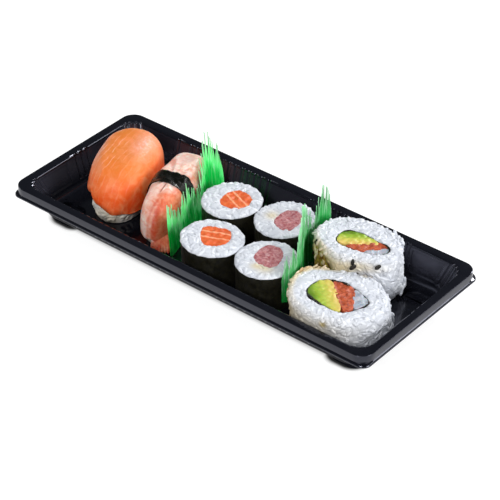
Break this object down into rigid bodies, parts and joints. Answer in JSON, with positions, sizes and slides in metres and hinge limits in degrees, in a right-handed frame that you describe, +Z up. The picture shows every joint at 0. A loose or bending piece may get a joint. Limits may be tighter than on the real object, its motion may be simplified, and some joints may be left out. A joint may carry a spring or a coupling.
{
  "type": "takeaway sushi tray",
  "caption": "Shallow black plastic takeaway tray with nigiri, small and large sushi rolls, and green grass-shaped dividers.",
  "frame": {"origin": "on the surface that the tray's feet stand on, under the middle of its rim", "axes": "+Z up, +X along the tray towards the large rolls, +Y towards its back long side"},
  "size_m": [0.219, 0.09, 0.0488],
  "materials": {
    "tray_plastic": "glossy black thermoformed sheet",
    "rice": "moist cooked rice with separate grains",
    "nori": "moist dried seaweed, dark green-brown, slightly shiny",
    "salmon": "moist raw salmon with pale fat lines",
    "shrimp": "moist cooked shrimp, pale with orange bands",
    "tuna": "moist tuna, mottled pink and red",
    "avocado": "ripe avocado, yellow inside and green at the edge",
    "surimi": "white surimi stick",
    "divider_plastic": "thin translucent green film"
  },
  "bodies": {
    "root": {"tray": "tray_plastic", "salmon_nigiri_rice": "rice", "salmon_nigiri_slice": "salmon", "shrimp_nigiri_rice": "rice", "shrimp_nigiri_shrimp": "shrimp", "shrimp_nigiri_band": "nori", "hosomaki_salmon_back_nori": "nori", "hosomaki_salmon_back_rice": "rice", "hosomaki_salmon_back_filling": "salmon", "hosomaki_salmon_front_nori": "nori", "hosomaki_salmon_front_rice": "rice", "hosomaki_salmon_front_filling": "salmon", "hosomaki_tuna_back_nori": "nori", "hosomaki_tuna_back_rice": "rice", "hosomaki_tuna_back_filling": "tuna", "hosomaki_tuna_front_nori": "nori", "hosomaki_tuna_front_rice": "rice", "hosomaki_tuna_front_filling": "tuna", "uramaki_front_rice": "rice", "uramaki_front_nori": "nori", "uramaki_front_avocado": "avocado", "uramaki_front_salmon": "salmon", "uramaki_front_surimi": "surimi", "uramaki_back_rice": "rice", "uramaki_back_nori": "nori", "uramaki_back_avocado": "avocado", "uramaki_back_salmon": "salmon", "uramaki_back_surimi": "surimi", "divider_left": "divider_plastic", "divider_right": "divider_plastic"}
  },
  "joints": []
}
